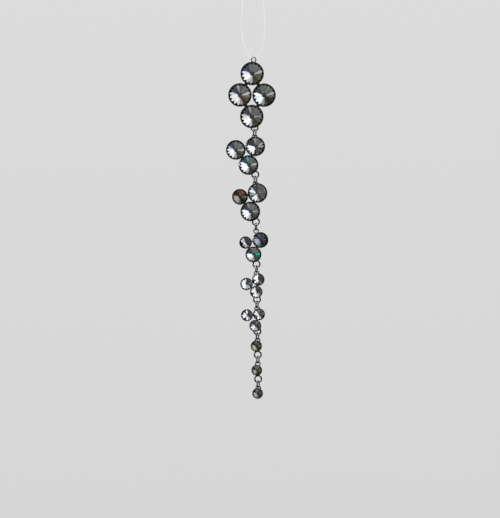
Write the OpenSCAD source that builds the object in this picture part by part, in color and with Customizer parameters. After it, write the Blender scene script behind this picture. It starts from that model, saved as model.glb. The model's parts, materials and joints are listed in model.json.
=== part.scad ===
// Icicle hanging ornament: pointed round crystals in metal cups, soldered into a crown of
// four, five trios and three single drops, and chained with rings and oval links under a
// loop of clear thread.
// Millimetres. +Z is up and the crystals face -Y. The origin is the inside top of the thread
// loop, where a hook or a twig bears, so the whole chain hangs below it on the Z axis.
// A unit is a soldered group that moves as one: unit 0 is the crown, 1 to 5 are the trios
// and 6 to 8 are the drops.

/* [Crown] */
// Diameter of the crown's four stones
crown_stone = 12; // [10:0.5:14]
// Open gap between the crown's left and right cups
crown_middle_gap = 0.35; // [0.1:0.05:0.6]
// Solder gap between those two and the cups above and below them
crown_outer_gap = 0.65; // [0.1:0.05:0.8]
// Turn of the crown about the front-back axis, in degrees
crown_roll = -1.3; // [-5:0.1:5]
// Distance of the crown's top cup to the right of the plumb line
crown_shift = -0.9; // [-2:0.1:2]
// Height of the top loop's wire over the top cup
crown_loop_rise = 2.5; // [1.4:0.05:2.6]
// Drop of the bottom ring's wire under the bottom cup
crown_ring_drop = 1.5; // [1.4:0.05:3.8]

/* [Trio 1] */
// Stone diameters of the right, left and low cups
trio1_stones = [10, 10, 10]; // [5:0.1:12]
// How far the right, left and low cups face to the right, in degrees
trio1_yaws = [10, 0, 10]; // [-20:1:20]
// Turn of the trio about the front-back axis, in degrees
trio1_roll = 9.4; // [0:0.1:25]
// Distance of the right cup to the right of the plumb line
trio1_shift = 0.3; // [-2:0.05:2]
// Height of the top loop's wire over the right cup
trio1_loop_rise = 1.2; // [1.05:0.05:2.4]
// Drop of the bottom ring's wire under the low cup
trio1_ring_drop = 1.65; // [1.4:0.05:3.8]

/* [Trio 2] */
// Stone diameters of the right, left and low cups
trio2_stones = [10, 8, 10]; // [5:0.1:12]
// How far the right, left and low cups face to the right, in degrees
trio2_yaws = [0, 0, 6]; // [-20:1:20]
// Turn of the trio about the front-back axis, in degrees
trio2_roll = 11.7; // [0:0.1:25]
// Distance of the right cup to the right of the plumb line
trio2_shift = 1.1; // [-2:0.05:2]
// Height of the top loop's wire over the right cup
trio2_loop_rise = 1.05; // [1.05:0.05:2.4]
// Drop of the bottom ring's wire under the low cup
trio2_ring_drop = 2.1; // [1.4:0.05:3.8]

/* [Trio 3] */
// Stone diameters of the right, left and low cups
trio3_stones = [8, 6.2, 8]; // [5:0.1:12]
// How far the right, left and low cups face to the right, in degrees
trio3_yaws = [12, -10, 4]; // [-20:1:20]
// Solder gap between its right and left cups
trio3_side_gap = 0.6; // [0.1:0.05:0.8]
// Turn of the trio about the front-back axis, in degrees
trio3_roll = 8.7; // [0:0.1:25]
// Distance of the right cup to the right of the plumb line
trio3_shift = 2.4; // [-2:0.05:2.5]
// Height of the top loop's wire over the right cup
trio3_loop_rise = 2; // [1.05:0.05:2.4]
// Drop of the bottom ring's wire under the low cup
trio3_ring_drop = 2.8; // [1.4:0.05:3.8]

/* [Trio 4] */
// Stone diameters of the right, left and low cups
trio4_stones = [6.2, 6.2, 6.2]; // [5:0.1:12]
// How far the right, left and low cups face to the right, in degrees
trio4_yaws = [8, 0, 6]; // [-20:1:20]
// Turn of the trio about the front-back axis, in degrees
trio4_roll = 19.9; // [0:0.1:25]
// Distance of the right cup to the right of the plumb line
trio4_shift = 0.9; // [-2:0.05:2]
// Height of the top loop's wire over the right cup
trio4_loop_rise = 1.3; // [1.05:0.05:2.4]
// Drop of the bottom ring's wire under the low cup
trio4_ring_drop = 2.5; // [1.4:0.05:3.8]

/* [Trio 5] */
// Stone diameters of the right, left and low cups
trio5_stones = [5.9, 5.9, 5.9]; // [5:0.1:12]
// How far the right, left and low cups face to the right, in degrees
trio5_yaws = [4, -4, 4]; // [-20:1:20]
// Turn of the trio about the front-back axis, in degrees
trio5_roll = 3.5; // [0:0.1:25]
// Distance of the right cup to the right of the plumb line
trio5_shift = 1; // [-2:0.05:2]
// Height of the top loop's wire over the right cup
trio5_loop_rise = 1.2; // [1.05:0.05:2.4]
// Drop of the bottom ring's wire under the low cup
trio5_ring_drop = 1.6; // [1.4:0.05:3.8]
// Angle by which its low cup stands off the left one, round the right cup
trio5_spread = 8; // [0:0.5:12]

/* [Drops] */
// Stone diameters of the three drops, from the top one down
drop_stones = [5.6, 5.3, 5.3]; // [4.5:0.1:8]
// Distance of each drop's cup to the right of the plumb line
drop_shifts = [-0.7, -0.65, -0.35]; // [-1:0.05:1]
// Height of each drop's top loop over its cup
drop_loop_rises = [1.25, 1.85, 1.2]; // [1.2:0.05:2]
// Drop of the bottom ring under the first and the second cup
drop_ring_drops = [3.45, 3.7]; // [1.4:0.05:3.8]

/* [Stones and cups] */
// Height of a stone's pointed front, as a share of its diameter
crown_height_share = 0.13; // [0.1:0.01:0.18]
// Height of a stone's pointed back, as a share of its diameter
back_height_share = 0.25; // [0.18:0.01:0.27]
// Solder gap between the cups of a trio
trio_gap = 0.1; // [0.1:0.05:0.4]
// Running room between a stone and its cup
stone_room = 0.03; // [0.02:0.01:0.08]

/* [Rings, links and thread] */
// Outside diameter of the small loop on top of each unit
loop_d = 3.14; // [3:0.02:3.4]
// Wire of that loop
loop_wire = 0.65; // [0.5:0.05:0.7]
// Outside diameter of the ring under each unit
ring_d = 4.5; // [4.2:0.1:5]
// Wire of that ring
ring_wire = 0.85; // [0.6:0.05:0.9]
// Outside width of the oval links
link_w = 3.2; // [3.1:0.05:3.6]
// Outside height of the oval links
link_h = 4.3; // [4.1:0.05:4.8]
// Wire of the oval links
link_wire = 0.75; // [0.5:0.05:0.75]
// How far the upper four oval links turn away from facing the front, in degrees
upper_link_turns = [58, 58, 74, 70]; // [58:1:90]
// The same for the lower four
lower_link_turns = [64, 60, 60, 62]; // [58:1:90]
// Diameter of the clear thread
thread_d = 0.3; // [0.2:0.05:0.35]
// Height of the thread loop
thread_h = 54; // [40:1:90]
// Half of the thread loop's greatest width
thread_reach = 6.3; // [4:0.1:9]

/* [Hidden] */
$fn = 64;

GUNMETAL = "#2b2b2e";
SMOKY_CRYSTAL = "#8d929b";
CLEAR_THREAD = "#e4e6e6";

// Units by number, and names for the cups of a unit. A unit's first cup carries its top loop.
CROWN = 0;
LAST_TRIO = 5;
LAST_DROP = 8;
TOP = 0;
LEFT_OF_CROWN = 1;
RIGHT_OF_CROWN = 2;
BOTTOM = 3;
RIGHT = 0;
LEFT = 1;
LOW = 2;
ONLY = 0;

// One entry a unit, from the crown down to the last drop.
STONES = [
    [crown_stone, crown_stone, crown_stone, crown_stone],
    trio1_stones, trio2_stones, trio3_stones, trio4_stones, trio5_stones,
    [drop_stones[0]], [drop_stones[1]], [drop_stones[2]],
];
YAWS = [
    [0, 0, 0, 0], trio1_yaws, trio2_yaws, trio3_yaws, trio4_yaws, trio5_yaws, [0], [0], [0],
];
ROLLS = [crown_roll, trio1_roll, trio2_roll, trio3_roll, trio4_roll, trio5_roll];
SIDE_GAPS = [crown_middle_gap, trio_gap, trio_gap, trio3_side_gap, trio_gap, trio_gap];
SPREADS = [0, 0, 0, 0, 0, trio5_spread];
SHIFTS = [
    crown_shift, trio1_shift, trio2_shift, trio3_shift, trio4_shift, trio5_shift,
    drop_shifts[0], drop_shifts[1], drop_shifts[2],
];
LOOP_RISES = [
    crown_loop_rise,
    trio1_loop_rise, trio2_loop_rise, trio3_loop_rise, trio4_loop_rise, trio5_loop_rise,
    drop_loop_rises[0], drop_loop_rises[1], drop_loop_rises[2],
];
RING_DROPS = [
    crown_ring_drop,
    trio1_ring_drop, trio2_ring_drop, trio3_ring_drop, trio4_ring_drop, trio5_ring_drop,
    drop_ring_drops[0], drop_ring_drops[1],
];
LINK_TURNS = concat(upper_link_turns, lower_link_turns);

// Parts of a cup as shares of its stone's diameter.
BAND_SHARE = 0.12;      // straight wall behind the stone's edge
LIP_SHARE = 0.035;      // how far the folded lip covers the stone
BACK_FLAT_SHARE = 0.14; // radius of the flat on the cup's back
SEAM_WIDTH_SHARE = 0.16; // width of a solder seam between two cups
SEAM_REACH_SHARE = 0.1; // how far the seam reaches to each side of their gap
SEAM_DEPTH_SHARE = 0.8; // depth of the seam, as a share of the band's
EDGE_SHARE = 0.02;      // thickness of the stone's edge
WALL_SHARE = 1/60;
THINNEST_WALL = 0.2;

// A stone has main facets round its point and two small facets to each along its edge.
MAINS_LARGE = 16;
MAINS_SMALL = 12;
LARGE_STONE = 7;
FACET_MEET = 0.7;       // where two mains part, as a share of the stone's radius

// The plane of all the loops and rings, behind the band of a unit's largest cup.
LOOP_SET_BACK = 0.35;

loop_r = (loop_d - loop_wire)/2;
ring_r = (ring_d - ring_wire)/2;
link_r = (link_w - link_wire)/2;
link_reach = (link_h - link_wire)/2;

// Crossed wires touch away from their middles, because both are bent, so their
// centre lines stay this much further apart than the sum of the wires' radii.
CROSSING_ROOM = 0.08;
link_in_ring = (ring_wire + link_wire)/2 + CROSSING_ROOM;
link_in_loop = (loop_wire + link_wire)/2 + CROSSING_ROOM;
link_span = 2*link_reach - link_in_ring - link_in_loop;

function wall(d) = THINNEST_WALL + WALL_SHARE*d;
function cup_r(d) = d/2 + wall(d);
function last(list) = list[len(list) - 1];
function polar(r, angle) = [r*cos(angle), r*sin(angle)];
function turned(point, angle) =
    [point.x*cos(angle) - point.y*sin(angle), point.x*sin(angle) + point.y*cos(angle)];
// Angle between sides a and b of a triangle whose third side is c.
function corner(a, b, c) = acos((a*a + b*b - c*c)/(2*a*b));

// Where the cups of a unit sit in the XZ plane, counted from its first cup.
crown_half_w = cup_r(crown_stone) + crown_middle_gap/2;
crown_side = 2*cup_r(crown_stone) + crown_outer_gap;
crown_half_h = sqrt(crown_side*crown_side - crown_half_w*crown_half_w);
function crown_layout() = [
    [0, 0],
    turned([-crown_half_w, -crown_half_h], crown_roll),
    turned([crown_half_w, -crown_half_h], crown_roll),
    turned([0, -2*crown_half_h], crown_roll),
];
function trio_layout(unit) =
    let (
        right = cup_r(STONES[unit][RIGHT]),
        left = cup_r(STONES[unit][LEFT]),
        low = cup_r(STONES[unit][LOW]),
        to_left = right + left + SIDE_GAPS[unit],
        to_low = right + low + trio_gap,
        left_angle = 180 + ROLLS[unit],
        low_angle = left_angle + corner(to_left, to_low, left + low + trio_gap)
            + SPREADS[unit]
    )
    [[0, 0], polar(to_left, left_angle), polar(to_low, low_angle)];
function layout(unit) =
    unit == CROWN ? crown_layout() : unit <= LAST_TRIO ? trio_layout(unit) : [[0, 0]];

// Heights down the chain, all from the thread.
thread_low = thread_d/2 - thread_h;
first_loop = thread_low + (thread_d + loop_wire)/2 + CROSSING_ROOM;
function loop_top(unit) =
    unit == CROWN ? first_loop : ring_low(unit - 1) - link_span;
function first_cup_z(unit) =
    loop_top(unit) - LOOP_RISES[unit] - cup_r(STONES[unit][0]);
function ring_low(unit) =
    first_cup_z(unit) + last(layout(unit)).y - cup_r(last(STONES[unit])) - RING_DROPS[unit];
function girdle_y(unit) = -BAND_SHARE*max(STONES[unit]) - LOOP_SET_BACK;

// Puts a child that faces +Z from its own origin into one cup of a unit.
module at_cup(unit, cup) {
    place = layout(unit)[cup];
    translate([SHIFTS[unit] + place.x, girdle_y(unit), first_cup_z(unit) + place.y])
        rotate([0, 0, YAWS[unit][cup]])
            rotate([90, 0, 0])
                children();
}

// The space that a cup fills, with its stone in it.
module cup_outside(d) {
    top = stone_room + wall(d);
    bevel = wall(d)/2;
    back = (EDGE_SHARE + back_height_share)*d + stone_room + wall(d);
    rotate_extrude()
        polygon([
            [0, top],
            [cup_r(d) - bevel, top],
            [cup_r(d), top - bevel],
            [cup_r(d), -BAND_SHARE*d],
            [BACK_FLAT_SHARE*d, -back],
            [0, -back],
        ]);
}

// The hollow of a cup: the stone's seat behind the folded lip, and its round opening.
module cup_inside(d) {
    top = stone_room + wall(d);
    seat_r = d/2 + stone_room;
    lip_r = d/2 - LIP_SHARE*d;
    front_slope = 2*crown_height_share;
    under_lip = front_slope*LIP_SHARE*d + stone_room;
    seat_low = -BAND_SHARE*d + wall(d)/2;
    back = (EDGE_SHARE + back_height_share)*d + stone_room;
    rotate_extrude()
        polygon([
            [0, top + wall(d)],
            [lip_r + wall(d), top + wall(d)],
            [lip_r, under_lip],
            [seat_r, under_lip],
            [seat_r, seat_low],
            [BACK_FLAT_SHARE*d, -back],
            [0, -back],
        ]);
}

module cup(d) {
    difference() {
        cup_outside(d);
        cup_inside(d);
    }
}

// A round stone with a pointed faceted front and a pointed back, its edge's front at Z = 0.
module stone(d) {
    mains = d >= LARGE_STONE ? MAINS_LARGE : MAINS_SMALL;
    step = 360/mains;
    edge_n = 2*mains;
    r = d/2;
    point_z = crown_height_share*d;
    meet_r = FACET_MEET*r;
    meet_z = point_z*(1 - FACET_MEET*cos(step/2));
    edge_z = -EDGE_SHARE*d;
    tip_z = edge_z - back_height_share*d;
    function edge(i, z) = concat(polar(r, i*step/2), z);
    meets = [for (i = [0:mains - 1]) concat(polar(meet_r, (i + 0.5)*step), meet_z)];
    front = [for (i = [0:edge_n - 1]) edge(i, 0)];
    rear = [for (i = [0:edge_n - 1]) edge(i, edge_z)];
    point = 0;
    tip = 1;
    first_meet = 2;
    first_front = first_meet + mains;
    first_rear = first_front + edge_n;
    polyhedron(
        points = concat([[0, 0, point_z]], [[0, 0, tip_z]], meets, front, rear),
        faces = concat(
            [for (i = [0:mains - 1]) [
                point,
                first_meet + i,
                first_front + 2*i,
                first_meet + (i + mains - 1)%mains,
            ]],
            [for (i = [0:mains - 1]) [
                first_meet + i,
                first_front + 2*i + 1,
                first_front + 2*i,
            ]],
            [for (i = [0:mains - 1]) [
                first_meet + i,
                first_front + (2*i + 2)%edge_n,
                first_front + 2*i + 1,
            ]],
            [for (i = [0:edge_n - 1]) [
                first_front + i,
                first_front + (i + 1)%edge_n,
                first_rear + (i + 1)%edge_n,
                first_rear + i,
            ]],
            [for (i = [0:edge_n - 1]) [first_rear + i, first_rear + (i + 1)%edge_n, tip]]
        )
    );
}

// A round ring of wire that faces the front, centred on the plumb line. Its wire starts and
// ends at the given angle, down from the right.
module ring(centre_z, r, wire, joint) {
    translate([0, 0, centre_z])
        rotate([90, joint, 0])
            rotate_extrude()
                translate([r, 0])
                    circle(d = wire, $fn = 32);
}

// The loop on a unit's first cup, cut to sit on the cup's outside.
module top_loop(unit) {
    difference() {
        ring(loop_top(unit) - loop_r, loop_r, loop_wire, -90);
        at_cup(unit, 0) cup_outside(STONES[unit][0]);
    }
}

// The ring under a unit's last cup, cut the same way.
module bottom_ring(unit) {
    last_cup = len(STONES[unit]) - 1;
    difference() {
        ring(ring_low(unit) + ring_r, ring_r, ring_wire, 90);
        at_cup(unit, last_cup) cup_outside(STONES[unit][last_cup]);
    }
}

// The solder that fills the wedge on both sides of the place where two cups meet.
module solder(unit, first, second) {
    from = layout(unit)[first];
    to = layout(unit)[second];
    first_r = cup_r(STONES[unit][first]);
    gap = norm(to - from) - first_r - cup_r(STONES[unit][second]);
    middle = from + (to - from)*(first_r + gap/2)/norm(to - from);
    slim = min(STONES[unit][first], STONES[unit][second]);
    width = SEAM_WIDTH_SHARE*slim;
    reach = gap/2 + SEAM_REACH_SHARE*slim;
    depth = SEAM_DEPTH_SHARE*BAND_SHARE*slim;
    difference() {
        translate([SHIFTS[unit] + middle.x, girdle_y(unit), first_cup_z(unit) + middle.y])
            rotate([0, -atan2(to.y - from.y, to.x - from.x), 0])
                translate([-reach, 0, -width/2])
                    cube([2*reach, depth, width]);
        at_cup(unit, first) cup_outside(STONES[unit][first]);
        at_cup(unit, second) cup_outside(STONES[unit][second]);
    }
}

// The loop, the ring and the solder that hold a group of cups together.
module trio_fittings(unit) {
    top_loop(unit);
    bottom_ring(unit);
    solder(unit, RIGHT, LEFT);
    solder(unit, RIGHT, LOW);
    if (SPREADS[unit] == 0) solder(unit, LEFT, LOW);
}

module unit_cup(unit, cup) {
    color(GUNMETAL) at_cup(unit, cup) cup(STONES[unit][cup]);
}

module unit_stone(unit, cup) {
    color(SMOKY_CRYSTAL) at_cup(unit, cup) stone(STONES[unit][cup]);
}

// An oval link between the ring of the unit above it and the loop of the unit below it.
module oval_link(number) {
    middle_z = ring_low(number - 1) + link_in_ring - link_reach;
    straight = 2*(link_reach - link_r);
    color(GUNMETAL)
        translate([0, 0, middle_z])
            rotate([0, 0, LINK_TURNS[number - 1]])
                for (side = [-1, 1]) {
                    translate([side*link_r, 0, -straight/2])
                        cylinder(d = link_wire, h = straight, $fn = 32);
                    translate([0, 0, side*straight/2])
                        rotate([side*90, 0, 0])
                            rotate_extrude(angle = 180)
                                translate([link_r, 0])
                                    circle(d = link_wire, $fn = 32);
                }
}

// The thread loop's centre line. Its two strands run up from the crown's loop, one in front
// of the wire and one behind it, and bow apart before they meet over the hook.
THREAD_STEPS = 36;
THREAD_SIDES = 10;
STRAND_GAP = 0.62;      // greatest distance of a strand's middle from the wire's
BOW_PLACE = 0.65;       // below 1 puts the widest part of the bow lower
BOW_FULLNESS = 0.8;     // below 1 makes the bow fuller
BOW_TOP_FULLNESS = 0.3; // how much fuller it gets towards the hook
GAP_PLACE = 0.25;       // the same two for the distance between the strands
GAP_FULLNESS = 0.6;
STEP_CROWDING = 1.5;    // above 1 puts more steps round the crown's loop
thread_path_h = thread_h - thread_d;
function bow(share, place, fullness) = pow(sin(180*pow(share, place)), fullness);
function strand_x(share) =
    thread_reach*bow(share, BOW_PLACE, BOW_FULLNESS - BOW_TOP_FULLNESS*share);
function strand_y(share) = STRAND_GAP*bow(share, GAP_PLACE, GAP_FULLNESS);
function rise_share(angle) = pow((1 - cos(angle))/2, STEP_CROWDING);
function thread_point(angle) =
    let (share = min(1, rise_share(angle)), side = angle <= 180 ? 1 : -1)
    [side*strand_x(share), -side*strand_y(share), thread_low + share*thread_path_h];

// A closed tube round a list of points that go once round the Y axis.
module closed_tube(points, d, sides) {
    count = len(points);
    function unit_vector(v) = v/norm(v);
    rings = [for (i = [0:count - 1])
        let (
            along = unit_vector(points[(i + 1)%count] - points[(i + count - 1)%count]),
            inward = unit_vector(cross(along, [0, 1, 0])),
            across = cross(along, inward)
        )
        for (k = [0:sides - 1])
            points[i] + d/2*(cos(k*360/sides)*inward + sin(k*360/sides)*across)
    ];
    polyhedron(
        points = rings,
        faces = [for (i = [0:count - 1]) for (k = [0:sides - 1]) [
            i*sides + k,
            (i + 1)%count*sides + k,
            (i + 1)%count*sides + (k + 1)%sides,
            i*sides + (k + 1)%sides,
        ]]
    );
}

// The knot sits beside the hook, on the right strand, with its two cut ends.
KNOT_ANGLE = 155;
KNOT_R = 0.6;
TAIL_LENGTH = 3.5;
TAIL_ANGLES = [55, 100];
module hanging_thread() {
    color(CLEAR_THREAD) {
        closed_tube(
            [for (i = [0:2*THREAD_STEPS - 1]) thread_point(i*180/THREAD_STEPS)],
            thread_d,
            THREAD_SIDES
        );
        translate(thread_point(KNOT_ANGLE)) {
            sphere(r = KNOT_R, $fn = 12);
            for (angle = TAIL_ANGLES)
                rotate([0, angle, 0])
                    cylinder(d = thread_d, h = TAIL_LENGTH, $fn = THREAD_SIDES);
        }
    }
}

module crown_cup_top() { unit_cup(CROWN, TOP); }
module crown_cup_left() { unit_cup(CROWN, LEFT_OF_CROWN); }
module crown_cup_right() { unit_cup(CROWN, RIGHT_OF_CROWN); }
module crown_cup_bottom() { unit_cup(CROWN, BOTTOM); }
module crown_stone_top() { unit_stone(CROWN, TOP); }
module crown_stone_left() { unit_stone(CROWN, LEFT_OF_CROWN); }
module crown_stone_right() { unit_stone(CROWN, RIGHT_OF_CROWN); }
module crown_stone_bottom() { unit_stone(CROWN, BOTTOM); }
// The left and right cups stand a hair apart, so only the top and bottom cups are soldered.
module crown_fittings() {
    color(GUNMETAL) {
        top_loop(CROWN);
        bottom_ring(CROWN);
        for (middle = [LEFT_OF_CROWN, RIGHT_OF_CROWN]) {
            solder(CROWN, TOP, middle);
            solder(CROWN, middle, BOTTOM);
        }
    }
}

module trio1_cup_right() { unit_cup(1, RIGHT); }
module trio1_cup_left() { unit_cup(1, LEFT); }
module trio1_cup_low() { unit_cup(1, LOW); }
module trio1_stone_right() { unit_stone(1, RIGHT); }
module trio1_stone_left() { unit_stone(1, LEFT); }
module trio1_stone_low() { unit_stone(1, LOW); }
module trio1_fittings() { color(GUNMETAL) trio_fittings(1); }

module trio2_cup_right() { unit_cup(2, RIGHT); }
module trio2_cup_left() { unit_cup(2, LEFT); }
module trio2_cup_low() { unit_cup(2, LOW); }
module trio2_stone_right() { unit_stone(2, RIGHT); }
module trio2_stone_left() { unit_stone(2, LEFT); }
module trio2_stone_low() { unit_stone(2, LOW); }
module trio2_fittings() { color(GUNMETAL) trio_fittings(2); }

module trio3_cup_right() { unit_cup(3, RIGHT); }
module trio3_cup_left() { unit_cup(3, LEFT); }
module trio3_cup_low() { unit_cup(3, LOW); }
module trio3_stone_right() { unit_stone(3, RIGHT); }
module trio3_stone_left() { unit_stone(3, LEFT); }
module trio3_stone_low() { unit_stone(3, LOW); }
module trio3_fittings() { color(GUNMETAL) trio_fittings(3); }

module trio4_cup_right() { unit_cup(4, RIGHT); }
module trio4_cup_left() { unit_cup(4, LEFT); }
module trio4_cup_low() { unit_cup(4, LOW); }
module trio4_stone_right() { unit_stone(4, RIGHT); }
module trio4_stone_left() { unit_stone(4, LEFT); }
module trio4_stone_low() { unit_stone(4, LOW); }
module trio4_fittings() { color(GUNMETAL) trio_fittings(4); }

module trio5_cup_right() { unit_cup(5, RIGHT); }
module trio5_cup_left() { unit_cup(5, LEFT); }
module trio5_cup_low() { unit_cup(5, LOW); }
module trio5_stone_right() { unit_stone(5, RIGHT); }
module trio5_stone_left() { unit_stone(5, LEFT); }
module trio5_stone_low() { unit_stone(5, LOW); }
module trio5_fittings() { color(GUNMETAL) trio_fittings(5); }

// The small cup of a drop, with its top loop and, if another drop follows, its ring cast on.
module drop_cup(unit) {
    unit_cup(unit, ONLY);
    color(GUNMETAL) {
        top_loop(unit);
        if (unit < LAST_DROP) bottom_ring(unit);
    }
}

module drop1_cup() { drop_cup(6); }
module drop2_cup() { drop_cup(7); }
module drop3_cup() { drop_cup(LAST_DROP); }
module drop1_stone() { unit_stone(6, ONLY); }
module drop2_stone() { unit_stone(7, ONLY); }
module drop3_stone() { unit_stone(LAST_DROP, ONLY); }

module link_1() { oval_link(1); }
module link_2() { oval_link(2); }
module link_3() { oval_link(3); }
module link_4() { oval_link(4); }
module link_5() { oval_link(5); }
module link_6() { oval_link(6); }
module link_7() { oval_link(7); }
module link_8() { oval_link(8); }

hanging_thread();

crown_cup_top();
crown_cup_left();
crown_cup_right();
crown_cup_bottom();
crown_stone_top();
crown_stone_left();
crown_stone_right();
crown_stone_bottom();
crown_fittings();

trio1_cup_right();
trio1_cup_left();
trio1_cup_low();
trio1_stone_right();
trio1_stone_left();
trio1_stone_low();
trio1_fittings();

trio2_cup_right();
trio2_cup_left();
trio2_cup_low();
trio2_stone_right();
trio2_stone_left();
trio2_stone_low();
trio2_fittings();

trio3_cup_right();
trio3_cup_left();
trio3_cup_low();
trio3_stone_right();
trio3_stone_left();
trio3_stone_low();
trio3_fittings();

trio4_cup_right();
trio4_cup_left();
trio4_cup_low();
trio4_stone_right();
trio4_stone_left();
trio4_stone_low();
trio4_fittings();

trio5_cup_right();
trio5_cup_left();
trio5_cup_low();
trio5_stone_right();
trio5_stone_left();
trio5_stone_low();
trio5_fittings();

drop1_cup();
drop1_stone();
drop2_cup();
drop2_stone();
drop3_cup();
drop3_stone();

link_1();
link_2();
link_3();
link_4();
link_5();
link_6();
link_7();
link_8();
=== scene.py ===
import json
import math
import random

import bpy
import numpy as np
from mathutils import Matrix, Vector


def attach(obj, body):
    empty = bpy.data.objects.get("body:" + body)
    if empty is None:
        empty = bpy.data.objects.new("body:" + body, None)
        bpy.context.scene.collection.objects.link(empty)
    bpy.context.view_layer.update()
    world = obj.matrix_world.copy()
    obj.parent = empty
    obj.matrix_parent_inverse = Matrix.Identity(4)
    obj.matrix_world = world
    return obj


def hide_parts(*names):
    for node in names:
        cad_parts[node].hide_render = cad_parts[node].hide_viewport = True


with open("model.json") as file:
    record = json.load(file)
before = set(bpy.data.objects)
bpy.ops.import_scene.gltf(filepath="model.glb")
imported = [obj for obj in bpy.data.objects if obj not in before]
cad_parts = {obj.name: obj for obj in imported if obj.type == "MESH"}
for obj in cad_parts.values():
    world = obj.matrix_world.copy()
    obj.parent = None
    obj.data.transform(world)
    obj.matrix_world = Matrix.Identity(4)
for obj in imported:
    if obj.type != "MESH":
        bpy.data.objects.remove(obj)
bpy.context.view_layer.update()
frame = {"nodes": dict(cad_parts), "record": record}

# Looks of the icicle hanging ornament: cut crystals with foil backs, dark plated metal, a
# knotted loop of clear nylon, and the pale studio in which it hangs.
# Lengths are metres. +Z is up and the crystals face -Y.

MM = 0.001

NODES = frame["nodes"]
BODIES = frame["record"]["behaviour"]["bodies"]
BODY_OF = {node: body for body, nodes in BODIES.items() for node in nodes}


# ---------------------------------------------------------------- small helpers

def add_piece(name, points, faces, body, slot, replaced=None):
    """A mesh piece that rides on a body, in place of the node it replaces; its slot is not
    used.
    """
    mesh = bpy.data.meshes.new(name)
    mesh.from_pydata([tuple(p) for p in points], [], faces)
    mesh.update()
    piece = bpy.data.objects.new(name, mesh)
    bpy.context.scene.collection.objects.link(piece)
    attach(piece, body)
    if replaced:
        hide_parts(replaced)
    return piece


def new_material(name):
    """An empty node material, with its node tree and output."""
    material = bpy.data.materials.new(name)
    material.use_nodes = True
    tree = material.node_tree
    tree.nodes.clear()
    output = tree.nodes.new("ShaderNodeOutputMaterial")
    return material, tree, output


def add_node(tree, kind, **settings):
    """A node with its inputs and its other settings given by name."""
    node = tree.nodes.new(kind)
    for name, value in settings.items():
        if name in node.inputs:
            node.inputs[name].default_value = value
        else:
            setattr(node, name, value)
    return node


def link_maths(tree, operation, *values):
    """A maths node fed with sockets or numbers; gives its output socket."""
    node = tree.nodes.new("ShaderNodeMath")
    node.operation = operation
    for socket, value in zip(node.inputs, values):
        if isinstance(value, (int, float)):
            socket.default_value = value
        else:
            tree.links.new(value, socket)
    return node.outputs[0]


def span(tree, value, low, high, at_low, at_high):
    """Maps a value between low and high to one between at_low and at_high."""
    node = tree.nodes.new("ShaderNodeMapRange")
    for name, number in (("From Min", low), ("From Max", high),
                         ("To Min", at_low), ("To Max", at_high)):
        node.inputs[name].default_value = number
    tree.links.new(value, node.inputs["Value"])
    return node.outputs[0]


def blend(tree, share, first, second):
    """Mixes two colours, each given as a socket or as numbers."""
    node = tree.nodes.new("ShaderNodeMix")
    node.data_type = "RGBA"
    tree.links.new(share, node.inputs[0])
    for socket, colour in zip(node.inputs[6:8], (first, second)):
        if isinstance(colour, tuple):
            socket.default_value = colour
        else:
            tree.links.new(colour, socket)
    return node.outputs[2]


def scaled(tree, vector, factor):
    """A vector or colour multiplied by a number."""
    node = tree.nodes.new("ShaderNodeVectorMath")
    node.operation = "SCALE"
    tree.links.new(vector, node.inputs[0])
    tree.links.new(factor, node.inputs["Scale"])
    return node.outputs[0]


# Noise below the first of these numbers becomes 0, and noise above the second 1.
MOTTLED = (0.3, 0.7)
CLOUDED = (0.35, 0.65)
HAZY = (0.45, 0.8)
PATCHY = (0.5, 0.6)
SPARSE = (0.62, 0.72)


def noise(tree, place, scale, detail, cut):
    """Noise between 0 and 1. One of scale 1000 changes about every millimetre."""
    pattern = add_node(tree, "ShaderNodeTexNoise", Scale=scale, Detail=detail)
    tree.links.new(place, pattern.inputs["Vector"])
    return span(tree, pattern.outputs["Fac"], *cut, 0, 1)


# ---------------------------------------------------------------- gems

LARGE_STONE = 7*MM
MAINS_LARGE = 16
MAINS_SMALL = 12
FACET_MEET = 0.70       # where two front facets part, as a share of the radius
BACK_MEET = 0.69        # the same for the back
FACET_NORMAL = "facet_normal"
MIRROR_TILT = 0.13      # 0 is a flat mirror behind the stone, and 1 follows the back's facets
MIRROR_EVENNESS = 0.8   # how far turned stones still mirror what the others do
SET_SPREAD = 0.02       # how unevenly the stones are set
CUT_SPREAD = 0.02       # how unevenly their backs are cut
EDGE_STEEPNESS = 1.8    # above 1 makes the small facets along the edge look steeper
FOIL_FIRE_AND_SHADE = "foil_fire_and_shade"
PAINTED_DARK_FOILS = {          # stones whose foils are painted darker all over, a painted shade
    "drop1_stone": (0.42, 0.42, 0.33),
    "drop2_stone": (0.36, 0.37, 0.30),
    "drop3_stone": (0.34, 0.35, 0.30),
    "trio2_stone_left": (0.38, 0.34, 0.31),
    "trio3_stone_right": (0.42, 0.44, 0.52),
}
CLEAR = (1, 1, 1)
PAINTED_FIRE_SHARE = 0.14       # how many of the foil's facets get a faint painted colour, a painted glint of the stone's fire
PAINTED_FIRE_COLOURS = [(1.0, 0.92, 0.84), (1.0, 0.98, 0.85), (0.88, 1.0, 0.93), (0.88, 0.94, 1.05)]
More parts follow.
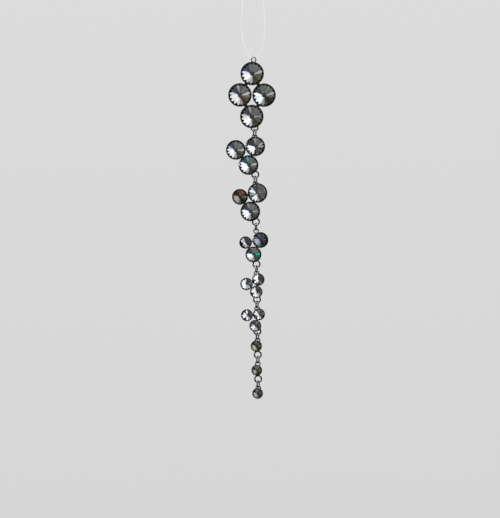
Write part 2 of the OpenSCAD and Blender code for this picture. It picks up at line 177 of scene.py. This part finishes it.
PAINTED_FIRES = [               # painted fire, and painted shade where the colour is below 1: stone, hour, reach to both sides in hours, colour
    ("crown_stone_top", 9.2, 0.35, (0.72, 0.66, 1.15)),
    ("crown_stone_top", 4.6, 0.4, (2.6, 1.9, 0.4)),
    ("crown_stone_left", 4.2, 0.4, (2.6, 0.9, 0.6)),
    ("crown_stone_right", 1.2, 0.4, (0.75, 1.25, 0.9)),
    ("crown_stone_right", 4.2, 0.9, (0.4, 0.42, 0.4)),
    ("crown_stone_bottom", 9.0, 0.5, (1.0, 0.9, 0.86)),
    ("crown_stone_bottom", 4.6, 0.4, (2.6, 0.9, 0.5)),
    ("trio1_stone_right", 1.8, 0.4, (3.0, 2.8, 1.2)),
    ("trio1_stone_low", 12.3, 0.7, (0.5, 1.2, 1.7)),
    ("trio2_stone_left", 12.0, 0.9, (4.0, 1.6, 1.1)),
    ("trio3_stone_low", 3.4, 0.9, (0.05, 1.0, 0.45)),
]
LEANS = {               # a stone's mirror leans right and up, with a tilt of its own
    "trio2_stone_right": (-0.02, 0.03, 0.10),
    "trio3_stone_left": (0.08, 0.06, 0.03),
    "trio4_stone_left": (0.09, 0.08, 0.02),
    "trio4_stone_right": (0.08, 0.12, 0.02),
    "trio4_stone_low": (0.12, 0.03, 0.02),
    "trio5_stone_left": (0.06, 0.06, 0.05),
    "trio5_stone_right": (0.06, 0.04, 0.08),
    "trio5_stone_low": (0.07, 0.04, 0.05),
}
CUTS = {                # stones whose backs are cut less evenly than the others
    "trio1_stone_right": 0.08,
    "trio2_stone_right": 0.10,
    "trio3_stone_left": 0.04,
    "trio4_stone_left": 0.05,
    "trio4_stone_right": 0.05,
    "trio4_stone_low": 0.05,
    "trio5_stone_left": 0.07,
    "trio5_stone_right": 0.07,
    "trio5_stone_low": 0.06,
}
DARK_EDGE = (5.9, 11.0) # hours between which the foil's outermost facets are painted dark, a painted shade
EDGE_SHADE_TINT = 0.16

CRYSTAL_IOR = 1.58
CLEAR_GLASS = (0.90, 0.91, 0.92, 1)
SMOKED_GLASS = (0.85, 0.86, 0.87, 1)
SMOKE_SCALE = 350
HAZE_SCALE = 2500
CRYSTAL_ROUGHNESS = (0.0, 0.004)
FACET_BUMP = 0.01
FACET_BUMP_DEPTH = 0.0005*MM
FOIL_BRIGHTNESS = (0.84, 0.76)
FOIL_ROUGHNESS = (0.025, 0.05)
AT_EDGE = 0.99          # points at more than this share of the radius are on the stone's edge


def stone_place(node):
    """Where a packed stone sits: a matrix with Z out of its front, and its main sizes."""
    points = np.array([tuple(v.co) for v in NODES[node].data.vertices])
    centre = points.mean(axis=0)
    axis = np.linalg.eigh(np.cov((points - centre).T))[1][:, 0]
    if axis[1] > 0:
        axis = -axis
    along = (points - centre) @ axis
    across = np.linalg.norm(points - centre - np.outer(along, axis), axis=1)
    radius = across.max()
    edge = along[across > AT_EDGE*radius]
    origin = centre + axis*edge.max()
    front = Vector(axis)
    right = Vector((0, 0, 1)).cross(front).normalized()
    up = front.cross(right)
    place = Matrix((right, up, front)).transposed().to_4x4()
    place.translation = Vector(origin)
    return place, {
        "radius": radius,
        "point": along.max() - edge.max(),
        "edge": edge.max() - edge.min(),
        "tip": edge.min() - along.min(),
    }


def ring_points(count, radius, z, turn=0.0):
    """Points round the Z axis; turn counts in steps."""
    step = 2*math.pi/count
    return [(radius*math.cos((i + turn)*step), radius*math.sin((i + turn)*step), z)
            for i in range(count)]


def facet_side(points, faces, mains, apex, apex_z, meet_share, edge, radius, flip):
    """One pointed side of a stone: long facets from the apex, and two small ones between
    each pair of them along the edge."""
    first = len(points)
    meet_z = edge + (apex_z - edge)*(1 - meet_share*math.cos(math.pi/mains))
    points.append((0, 0, apex_z))
    points += ring_points(mains, meet_share*radius, meet_z, 0.5)
    for i in range(mains):
        before = first + 1 + (i - 1) % mains
        after = first + 1 + i
        at_edge = [apex + (2*i + k) % (2*mains) for k in range(3)]
        for face in ([first, before, at_edge[0], after],
                     [after, at_edge[0], at_edge[1]],
                     [after, at_edge[1], at_edge[2]]):
            faces.append(face[::-1] if flip else face)


def gem_mesh(size):
    """Points and faces of a stone; the faces of its back come last."""
    mains = MAINS_LARGE if size["radius"] > LARGE_STONE/2 else MAINS_SMALL
    edge_n = 2*mains
    points = ring_points(edge_n, size["radius"], 0)
    points += ring_points(edge_n, size["radius"], -size["edge"])
    faces = []
    facet_side(points, faces, mains, 0, size["point"], FACET_MEET, 0, size["radius"], False)
    front_count = len(faces)
    for i in range(edge_n):
        j = (i + 1) % edge_n
        faces.append([i, edge_n + i, edge_n + j, j])
    facet_side(points, faces, mains, edge_n, -size["edge"] - size["tip"], BACK_MEET,
               -size["edge"], size["radius"], True)
    return points, faces, front_count


def add_gem(node, draw, materials):
    """A faceted stone in place of a packed one, turned in its cup."""
    place, size = stone_place(node)
    points, faces, front_count = gem_mesh(size)
    place = place @ Matrix.Rotation(draw.uniform(0, 2*math.pi), 4, "Z")
    points = [place @ Vector(p) for p in points]
    gem = add_piece(node + "_cut", points, faces, BODY_OF[node], "smoky_crystal", node)
    for material in materials:
        gem.data.materials.append(material)
    for index, face in enumerate(gem.data.polygons):
        face.material_index = 0 if index < front_count else 1
    set_facet_normals(gem.data, node, place.to_3x3() @ Vector((0, 0, 1)), draw)
    set_facet_tints(gem.data, node, place.translation, draw)


def random_vector(draw, size):
    """A vector with three parts drawn between -size and size."""
    return Vector([draw.uniform(-size, size) for _ in range(3)])


def is_edge_facet(face):
    """The small facets along a stone's edge are its only triangles."""
    return len(face.vertices) == 3


def set_facet_normals(mesh, node, axis, draw):
    """Stores the way each facet seems to face."""
    stored = mesh.attributes.new(FACET_NORMAL, "FLOAT_VECTOR", "FACE")
    right, up, tilt = LEANS.get(node, (0, 0, MIRROR_TILT))
    spread = CUTS.get(node, CUT_SPREAD)
    mirror = axis.lerp(Vector((0, -1, 0)), MIRROR_EVENNESS) + Vector((right, 0, up))
    mirror += random_vector(draw, SET_SPREAD)
    for face, entry in zip(mesh.polygons, stored.data):
        if face.material_index == 1:
            facet = mirror.lerp(-face.normal, tilt) + random_vector(draw, spread)
        elif is_edge_facet(face):
            facet = axis.lerp(face.normal, EDGE_STEEPNESS)
        else:
            facet = face.normal
        entry.vector = facet.normalized()


def set_facet_tints(mesh, node, centre, draw):
    """Stores the colour that each facet of the foil gives back, with painted fire and painted
    shade in it.
    """
    stored = mesh.attributes.new(FOIL_FIRE_AND_SHADE, "FLOAT_VECTOR", "FACE")
    for face, entry in zip(mesh.polygons, stored.data):
        # painted shade: some stones' foils start darker all over
        tint = Vector(PAINTED_DARK_FOILS.get(node, CLEAR))
        # a few facets get a painted coloured glint
        if draw.random() < PAINTED_FIRE_SHARE:
            tint *= Vector(draw.choice(PAINTED_FIRE_COLOURS))
        away = face.center - centre
        hour = (math.atan2(away.x, away.z)/(2*math.pi)*12) % 12
        # painted shade on the foil's outermost facets at the lower left
        if is_edge_facet(face) and DARK_EDGE[0] < hour < DARK_EDGE[1]:
            tint *= EDGE_SHADE_TINT
        # painted fire and painted shade round the given hours of the given stones
        for stone, fire_hour, reach, colour in PAINTED_FIRES:
            apart = abs((hour - fire_hour + 6) % 12 - 6)
            if stone == node and apart < reach:
                tint *= Vector(colour)
        entry.vector = tint


def facet_normal(tree, height):
    """The stored facet normals with a fine bump, for a shader's Normal."""
    stored = add_node(tree, "ShaderNodeAttribute", attribute_name=FACET_NORMAL)
    turned = add_node(tree, "ShaderNodeVectorTransform", vector_type="NORMAL",
                      convert_from="OBJECT", convert_to="WORLD")
    tree.links.new(stored.outputs["Vector"], turned.inputs[0])
    bump = add_node(tree, "ShaderNodeBump", Strength=FACET_BUMP, Distance=FACET_BUMP_DEPTH)
    tree.links.new(height, bump.inputs["Height"])
    tree.links.new(turned.outputs[0], bump.inputs["Normal"])
    return bump.outputs[0]


def crystal_material():
    """Clear smoky glass for the fronts, with uneven smoke and faint polishing haze."""
    material, tree, output = new_material("smoky crystal front")
    place = tree.nodes.new("ShaderNodeTexCoord").outputs["Object"]
    smoke = noise(tree, place, SMOKE_SCALE, 2, MOTTLED)
    haze = noise(tree, place, HAZE_SCALE, 3, HAZY)
    glass = add_node(tree, "ShaderNodeBsdfGlass", IOR=CRYSTAL_IOR)
    tree.links.new(blend(tree, smoke, CLEAR_GLASS, SMOKED_GLASS), glass.inputs["Color"])
    tree.links.new(span(tree, haze, 0, 1, *CRYSTAL_ROUGHNESS), glass.inputs["Roughness"])
    inside = tree.nodes.new("ShaderNodeNewGeometry").outputs["Backfacing"]
    outward_or_inward = link_maths(tree, "MULTIPLY_ADD", inside, -2, 1)
    normal = scaled(tree, facet_normal(tree, haze), outward_or_inward)
    tree.links.new(normal, glass.inputs["Normal"])
    tree.links.new(glass.outputs[0], output.inputs["Surface"])
    return material


def foil_material():
    """The mirror foil on the backs, a little clouded and wrinkled, with painted fire and
    painted shade in its facets' colours.
    """
    material, tree, output = new_material("foil back")
    place = tree.nodes.new("ShaderNodeTexCoord").outputs["Object"]
    clouds = noise(tree, place, SMOKE_SCALE, 3, MOTTLED)
    wrinkles = noise(tree, place, HAZE_SCALE, 2, MOTTLED)
    foil = add_node(tree, "ShaderNodeBsdfPrincipled", Metallic=1.0)
    # the facets' colours hold painted fire and painted shade
    tint = add_node(tree, "ShaderNodeAttribute", attribute_name=FOIL_FIRE_AND_SHADE)
    colour = scaled(tree, tint.outputs["Vector"], span(tree, clouds, 0, 1, *FOIL_BRIGHTNESS))
    tree.links.new(colour, foil.inputs["Base Color"])
    tree.links.new(span(tree, clouds, 0, 1, *FOIL_ROUGHNESS), foil.inputs["Roughness"])
    tree.links.new(facet_normal(tree, wrinkles), foil.inputs["Normal"])
    tree.links.new(foil.outputs[0], output.inputs["Surface"])
    return material


# ---------------------------------------------------------------- metal

DARK_PLATE = (0.06, 0.06, 0.056, 1)
PALE_PLATE = (0.15, 0.15, 0.14, 1)
WORN_PLATE = (0.36, 0.35, 0.32, 1)
GRAZING_PLATE = (0.08, 0.08, 0.08, 1)
CLOUD_SCALE = 420
RUB_SCALE = 900
GRAIN_SCALE = 6000
WEAR = 0.6              # how much of the plating the rubbed places have lost
PLATE_ROUGHNESS = (0.12, 0.26)
PLATE_BUMP = 0.12
PLATE_BUMP_DEPTH = 0.02*MM


def gunmetal_material():
    """Black nickel plating: dark, bright, cloudy, finely scratched and rubbed in places."""
    material, tree, output = new_material("gunmetal plating")
    place = tree.nodes.new("ShaderNodeTexCoord").outputs["Object"]
    clouds = noise(tree, place, CLOUD_SCALE, 3, CLOUDED)
    rubs = noise(tree, place, RUB_SCALE, 5, SPARSE)
    grain = noise(tree, place, GRAIN_SCALE, 4, MOTTLED)
    plate = blend(tree, clouds, DARK_PLATE, PALE_PLATE)
    worn = blend(tree, link_maths(tree, "MULTIPLY", rubs, WEAR), plate, WORN_PLATE)
    metal = add_node(tree, "ShaderNodeBsdfPrincipled", Metallic=1.0)
    metal.inputs["Specular Tint"].default_value = GRAZING_PLATE
    tree.links.new(worn, metal.inputs["Base Color"])
    tree.links.new(span(tree, grain, 0, 1, *PLATE_ROUGHNESS), metal.inputs["Roughness"])
    bump = add_node(tree, "ShaderNodeBump", Strength=PLATE_BUMP, Distance=PLATE_BUMP_DEPTH)
    tree.links.new(link_maths(tree, "ADD", grain, clouds), bump.inputs["Height"])
    tree.links.new(bump.outputs[0], metal.inputs["Normal"])
    tree.links.new(metal.outputs[0], output.inputs["Surface"])
    return material


# ---------------------------------------------------------------- thread

THREAD_R = 0.15*MM
THREAD_SIDES = 10
THREAD_STEPS = 72       # steps up each strand
STRAND_GAP = 0.62*MM    # greatest distance of a strand's middle from the crown loop's wire
BOW_PLACE = 0.65        # below 1 puts the widest part of the bow lower
BOW_FULLNESS = 0.8      # below 1 makes the bow fuller
BOW_TOP_FULLNESS = 0.3  # how much fuller it gets towards the hook
GAP_PLACE = 0.25        # the same two for the distance between the strands
GAP_FULLNESS = 0.6
STEP_CROWDING = 1.5     # above 1 puts more steps round the crown's loop
KNOT_ANGLE = 155        # where along the loop its knot sits; the hook is at 180
KNOT_ROOM = 5           # how far from the knot the strands start to bend into it, in degrees
KNOT_R = 0.24*MM        # a third of the knot's reach
KNOT_DEPTH = 0.36*MM
KNOT_STEPS = 48
KNOT_TILT = 0.2         # how much the knot rises outward
TAIL = 2.6*MM
TAIL_LEAD = 0.5*MM      # from the knot to where the tails turn off
TAIL_STEPS = 4
TAIL_ANGLES = (55, 100) # from straight up, in degrees
NYLON = (0.88, 0.89, 0.90, 1)
NYLON_IOR = 1.53
NYLON_SHOWS = (0.05, 0.08)  # how much of the thread shows, as against what is behind it
NYLON_ROUGHNESS = (0.4, 0.55)
NYLON_SCALE = 1500
NYLON_BUMP = 0.03
NYLON_BUMP_DEPTH = 0.005*MM


def bow(share, place, fullness):
    """A bulge between 0 and 1 over a share of the way from 0 to 1, and 0 at both ends."""
    return math.sin(math.pi*share**place)**fullness if 0 < share < 1 else 0


def thread_point(angle, low, height, reach):
    """A point of the loop's centre line: 0 is at the crown's loop and 180 over the hook."""
    share = ((1 - math.cos(math.radians(angle)))/2)**STEP_CROWDING
    side = 1 if angle % 360 <= 180 else -1
    across = reach*bow(share, BOW_PLACE, BOW_FULLNESS - BOW_TOP_FULLNESS*share)
    forward = STRAND_GAP*bow(share, GAP_PLACE, GAP_FULLNESS)
    return Vector((side*across, -side*forward, low + share*height))


def knot_end(centre, strand, tail_angle):
    """One of the two strands of an overhand knot, with its cut tail. The strand follows a
    trefoil curve that is cut open."""
    outward = Vector((1, 0, KNOT_TILT)).normalized()
    forward = Vector((0, -1, 0))
    upward = forward.cross(outward)
    points = []
    for step in range(KNOT_STEPS + 1):
        turn = math.pi*(2*step/KNOT_STEPS - 1)
        out = KNOT_R*(math.sin(turn) + 2*math.sin(2*turn))
        ahead = KNOT_R*(math.cos(turn) - 2*math.cos(2*turn) + 3)
        over = strand*THREAD_R - KNOT_DEPTH*math.sin(3*turn)
        points.append(centre + out*outward + ahead*forward + over*upward)
    angle = math.radians(tail_angle)
    tail = Vector((math.sin(angle), 0, math.cos(angle)))
    first = points[-1] + TAIL_LEAD*outward
    points += [first + tail*TAIL*i/TAIL_STEPS for i in range(TAIL_STEPS + 1)]
    return points


def tube(points, radius, sides):
    """Points and faces of a round bar along a line, closed at both ends."""
    rings = []
    side = Vector((0, 1, 0))
    for i, point in enumerate(points):
        along = (points[min(i + 1, len(points) - 1)] - points[max(i - 1, 0)]).normalized()
        side = (side - along*side.dot(along)).normalized()
        other = along.cross(side)
        for k in range(sides):
            turn = 2*math.pi*k/sides
            rings.append(point + radius*(math.cos(turn)*side + math.sin(turn)*other))
    faces = []
    for i in range(len(points) - 1):
        for k in range(sides):
            near, far = i*sides + k, i*sides + (k + 1) % sides
            faces.append([near, far, far + sides, near + sides])
    faces.append(list(range(sides))[::-1])
    faces.append([(len(points) - 1)*sides + k for k in range(sides)])
    return rings, faces


def add_thread(material):
    """The clear loop with a real knot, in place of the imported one."""
    corners = [v.co for v in NODES["hanging_thread"].data.vertices]
    low = min(co.z for co in corners) + THREAD_R
    height = -low + THREAD_R
    reach = -min(co.x for co in corners) - THREAD_R
    first = KNOT_ANGLE + KNOT_ROOM
    last = KNOT_ANGLE - KNOT_ROOM + 360
    count = round((last - first)*THREAD_STEPS/180)
    loop = [thread_point(first + (last - first)*i/count, low, height, reach)
            for i in range(count + 1)]
    knot = thread_point(KNOT_ANGLE, low, height, reach)
    points = knot_end(knot, 1, TAIL_ANGLES[0])[::-1] + loop
    points += knot_end(knot, -1, TAIL_ANGLES[1])
    thread = add_piece("thread_loop", *tube(points, THREAD_R, THREAD_SIDES),
                       BODY_OF["hanging_thread"], "clear_thread", "hanging_thread")
    thread.data.materials.append(material)
    for face in thread.data.polygons:
        face.use_smooth = True
    return thread


def thread_material():
    """Clear nylon that hides little of what is behind it."""
    material, tree, output = new_material("clear nylon")
    place = tree.nodes.new("ShaderNodeTexCoord").outputs["Object"]
    waves = noise(tree, place, NYLON_SCALE, 2, MOTTLED)
    nylon = add_node(tree, "ShaderNodeBsdfPrincipled", IOR=NYLON_IOR)
    nylon.inputs["Base Color"].default_value = NYLON
    tree.links.new(span(tree, waves, 0, 1, *NYLON_ROUGHNESS), nylon.inputs["Roughness"])
    bump = add_node(tree, "ShaderNodeBump", Strength=NYLON_BUMP, Distance=NYLON_BUMP_DEPTH)
    tree.links.new(waves, bump.inputs["Height"])
    tree.links.new(bump.outputs[0], nylon.inputs["Normal"])
    clear = tree.nodes.new("ShaderNodeBsdfTransparent")
    mix = tree.nodes.new("ShaderNodeMixShader")
    tree.links.new(span(tree, waves, 0, 1, *NYLON_SHOWS), mix.inputs[0])
    tree.links.new(clear.outputs[0], mix.inputs[1])
    tree.links.new(nylon.outputs[0], mix.inputs[2])
    tree.links.new(mix.outputs[0], output.inputs["Surface"])
    return material


# ---------------------------------------------------------------- studio

BACKDROP_TOP = (0.715, 0.715, 0.715, 1)
BACKDROP_LOW = (0.675, 0.675, 0.675, 1)
BACKDROP_SPAN = 0.09    # sine of the elevation at which the backdrop stops getting paler
BEHIND = (0.75, 0.9)    # how far a direction points away from the camera to meet the backdrop
RING_INNER = 17         # what the stones' foils show stands between these two angles from the
RING_OUTER = 48         # line of sight, in degrees
RING_SOFTNESS = 3.5     # how softly the walls end there, in degrees
LAMP_RING = 62          # lamps stand beyond this angle, and light the stones seen from aside
LAMP_SCALE = 4
LAMPS_OFF = (0.08, 0.085, 0.10, 1)
LAMPS_ON = (1.6, 1.6, 1.6, 1)
WALL_UNEVENNESS = (0.72, 1.15)
WALL_SCALE = 9
MIDDLE = (0.06, 0.065, 0.075, 1)
ROOM_LOW = (0.03, 0.03, 0.03, 1)
ROOM_HIGH = (0.30, 0.30, 0.29, 1)
ROOM_SPAN = 0.9         # sine of the elevation at which the dim room stops getting brighter

# What stands round the camera, by the clock as the camera sees it: hour, brightness, colour.
AROUND = [
    (0.0, 0.75, (1.0, 1.0, 1.0)),
    (0.5, 0.9, (1.0, 1.0, 1.0)),
    (0.9, 1.8, (1.0, 1.0, 1.02)),
    (3.2, 1.8, (1.0, 1.0, 1.02)),
    (3.7, 0.12, (0.8, 0.9, 1.2)),
    (5.0, 0.10, (0.75, 0.9, 1.35)),
    (5.4, 0.10, (0.9, 1.0, 1.1)),
    (5.6, 0.55, (1.0, 1.0, 1.0)),
    (5.9, 0.16, (1.0, 1.0, 0.95)),
    (7.4, 0.30, (1.0, 0.98, 0.88)),
    (8.6, 0.15, (1.0, 1.0, 0.9)),
    (9.0, 1.3, (0.97, 1.0, 1.0)),
    (9.3, 0.22, (0.9, 1.0, 0.92)),
    (10.2, 0.18, (0.95, 1.0, 0.9)),
    (10.5, 0.10, (1.4, 0.8, 0.5)),
    (10.9, 0.07, (1.0, 1.0, 1.0)),
    (11.7, 0.09, (1.0, 1.0, 1.0)),
]
# The same for what stands further out, which only the small facets along the edges show.
FAR_AROUND = [
    (0.0, 0.03, (1.0, 1.0, 1.0)),
    (4.0, 0.04, (1.0, 1.0, 1.0)),
    (6.0, 0.16, (1.0, 1.0, 0.95)),
    (8.5, 0.20, (1.0, 1.0, 0.95)),
    (10.0, 0.08, (1.0, 1.0, 1.0)),
]


def by_the_clock(tree, clock, stops):
    """A colour for each hour round the camera; clock runs from 0 to 1."""
    ramp = tree.nodes.new("ShaderNodeValToRGB")
    elements = ramp.color_ramp.elements
    elements.remove(elements[1])
    for hour, brightness, colour in stops:
        stop = elements[0] if hour == 0 else elements.new(hour/12)
        stop.position = hour/12
        stop.color = (*[brightness*part for part in colour], 1)
    last = elements.new(1.0)
    last.color = elements[0].color
    tree.links.new(clock, ramp.inputs[0])
    return ramp.outputs[0]


def past(tree, y, degrees):
    """0 nearer to the line of sight than the given angle, and 1 beyond it."""
    return span(tree, y, -math.cos(math.radians(degrees)),
                -math.cos(math.radians(degrees + RING_SOFTNESS)), 0, 1)


def studio_walls(tree, where, x, y, z):
    """Bright and dark walls round the camera, which the stones' foils see."""
    turn = link_maths(tree, "DIVIDE", link_maths(tree, "ARCTAN2", x, z), 2*math.pi)
    clock = link_maths(tree, "FRACT", turn)
    pattern = noise(tree, where, WALL_SCALE, 3, CLOUDED)
    uneven = span(tree, pattern, 0, 1, *WALL_UNEVENNESS)
    near = scaled(tree, by_the_clock(tree, clock, AROUND), uneven)
    far = by_the_clock(tree, clock, FAR_AROUND)
    ring = blend(tree, past(tree, y, RING_INNER), MIDDLE, near)
    walls = blend(tree, past(tree, y, RING_OUTER), ring, far)
    lamps = blend(tree, noise(tree, where, LAMP_SCALE, 1, PATCHY), LAMPS_OFF, LAMPS_ON)
    return blend(tree, past(tree, y, LAMP_RING), walls, lamps)


def build_world():
    """A pale backdrop behind the object, and a studio in front: walls for the stones' foils,
    and a plain dim room for the metal."""
    world = bpy.data.worlds.new("studio")
    world.use_nodes = True
    bpy.context.scene.world = world
    tree = world.node_tree
    tree.nodes.clear()
    output = tree.nodes.new("ShaderNodeOutputWorld")
    where = tree.nodes.new("ShaderNodeTexCoord").outputs["Generated"]
    split = tree.nodes.new("ShaderNodeSeparateXYZ")
    tree.links.new(where, split.inputs[0])
    x, y, z = split.outputs
    path = tree.nodes.new("ShaderNodeLightPath").outputs
    room = blend(tree, span(tree, z, 0, ROOM_SPAN, 0, 1), ROOM_LOW, ROOM_HIGH)
    walls = studio_walls(tree, where, x, y, z)
    front = blend(tree, path["Is Transmission Ray"], room, walls)
    rise = span(tree, z, -BACKDROP_SPAN, BACKDROP_SPAN, 0, 1)
    backdrop = blend(tree, rise, BACKDROP_LOW, BACKDROP_TOP)
    around = blend(tree, span(tree, y, *BEHIND, 0, 1), front, backdrop)
    seen = blend(tree, path["Is Camera Ray"], around, backdrop)
    light = tree.nodes.new("ShaderNodeBackground")
    tree.links.new(seen, light.inputs["Color"])
    tree.links.new(light.outputs[0], output.inputs["Surface"])


SOFTBOX_DISTANCE = 1.2
SOFTBOXES = [           # name, direction from the object, width, height, power in watts
    ("top softbox", (-0.1, -0.75, 0.75), 1.0, 0.7, 36),
    ("left softbox", (-0.9, -0.5, 0.25), 0.4, 1.0, 12),
    ("back softbox", (0.5, 0.8, 0.5), 0.8, 0.8, 60),
]
FLOOR_LIGHT = ("floor light", (0, 0, 1), 1.0, 1.0, 14)


def add_softbox(name, direction, width, height, power, aim, lit):
    """A soft light that points at the object, lights only one collection and stays unseen."""
    light = bpy.data.lights.new(name, "AREA")
    light.shape = "RECTANGLE"
    light.size = width
    light.size_y = height
    light.energy = power
    box = bpy.data.objects.new(name, light)
    box.location = aim + Vector(direction).normalized()*SOFTBOX_DISTANCE
    box.rotation_euler = (aim - box.location).to_track_quat("-Z", "Y").to_euler()
    box.visible_camera = False
    box.light_linking.receiver_collection = lit
    bpy.context.scene.collection.objects.link(box)


CAMERA_DISTANCE = 1.6
FIELD_HEIGHT = 283.3*MM # what the camera sees at the object
FIELD_MIDDLE = (-3.5*MM, -163.5*MM)     # its x and z
CHAIN_LEAN = 0.8        # how far the hanging chain leans in the picture, in degrees


def build_camera():
    """A long lens straight at the crystals."""
    data = bpy.data.cameras.new("camera")
    data.lens = data.sensor_width*CAMERA_DISTANCE/FIELD_HEIGHT
    camera = bpy.data.objects.new("camera", data)
    camera.location = (FIELD_MIDDLE[0], -CAMERA_DISTANCE, FIELD_MIDDLE[1])
    camera.rotation_euler = (math.radians(90), math.radians(CHAIN_LEAN), 0)
    bpy.context.scene.collection.objects.link(camera)
    bpy.context.scene.camera = camera


FLOOR_Z = -0.36
FLOOR_R = 0.25
FLOOR_CORNERS = 48
FLOOR_PALE = (0.74, 0.74, 0.74, 1)
FLOOR_DULL = (0.70, 0.70, 0.70, 1)
FLOOR_SCALE = 30


def add_floor():
    """A pale round floor far under the lowest drop."""
    points = [(0, 0, FLOOR_Z)] + ring_points(FLOOR_CORNERS, FLOOR_R, FLOOR_Z)
    faces = [[0, i + 1, (i + 1) % FLOOR_CORNERS + 1] for i in range(FLOOR_CORNERS)]
    mesh = bpy.data.meshes.new("floor")
    mesh.from_pydata(points, [], faces)
    floor = bpy.data.objects.new("floor", mesh)
    bpy.context.scene.collection.objects.link(floor)
    material, tree, output = new_material("pale floor")
    place = tree.nodes.new("ShaderNodeTexCoord").outputs["Object"]
    clouds = noise(tree, place, FLOOR_SCALE, 3, MOTTLED)
    matt = add_node(tree, "ShaderNodeBsdfDiffuse")
    tree.links.new(blend(tree, clouds, FLOOR_DULL, FLOOR_PALE), matt.inputs["Color"])
    tree.links.new(matt.outputs[0], output.inputs["Surface"])
    mesh.materials.append(material)
    lit = bpy.data.collections.new("lit by floor light")
    lit.objects.link(floor)
    return lit


# ---------------------------------------------------------------- the whole scene

SEED = 12


def dress_nodes():
    """Cuts every stone, plates the metal and ties the thread; gives the collection of what
    the softboxes light, which is all but the stones."""
    crystal = crystal_material()
    foil = foil_material()
    gunmetal = gunmetal_material()
    lit = bpy.data.collections.new("lit by softboxes")
    draw = random.Random(SEED)
    for node in sorted(NODES):
        if "_stone" in node:
            add_gem(node, draw, [crystal, foil])
        elif node != "hanging_thread":
            NODES[node].data.materials.clear()
            NODES[node].data.materials.append(gunmetal)
            lit.objects.link(NODES[node])
    lit.objects.link(add_thread(thread_material()))
    return lit


lit = dress_nodes()
build_world()
chain_middle = Vector((0, 0, FIELD_MIDDLE[1]))
for settings in SOFTBOXES:
    add_softbox(*settings, chain_middle, lit)
add_softbox(*FLOOR_LIGHT, chain_middle, add_floor())
build_camera()
bpy.context.scene.view_settings.view_transform = "Standard"
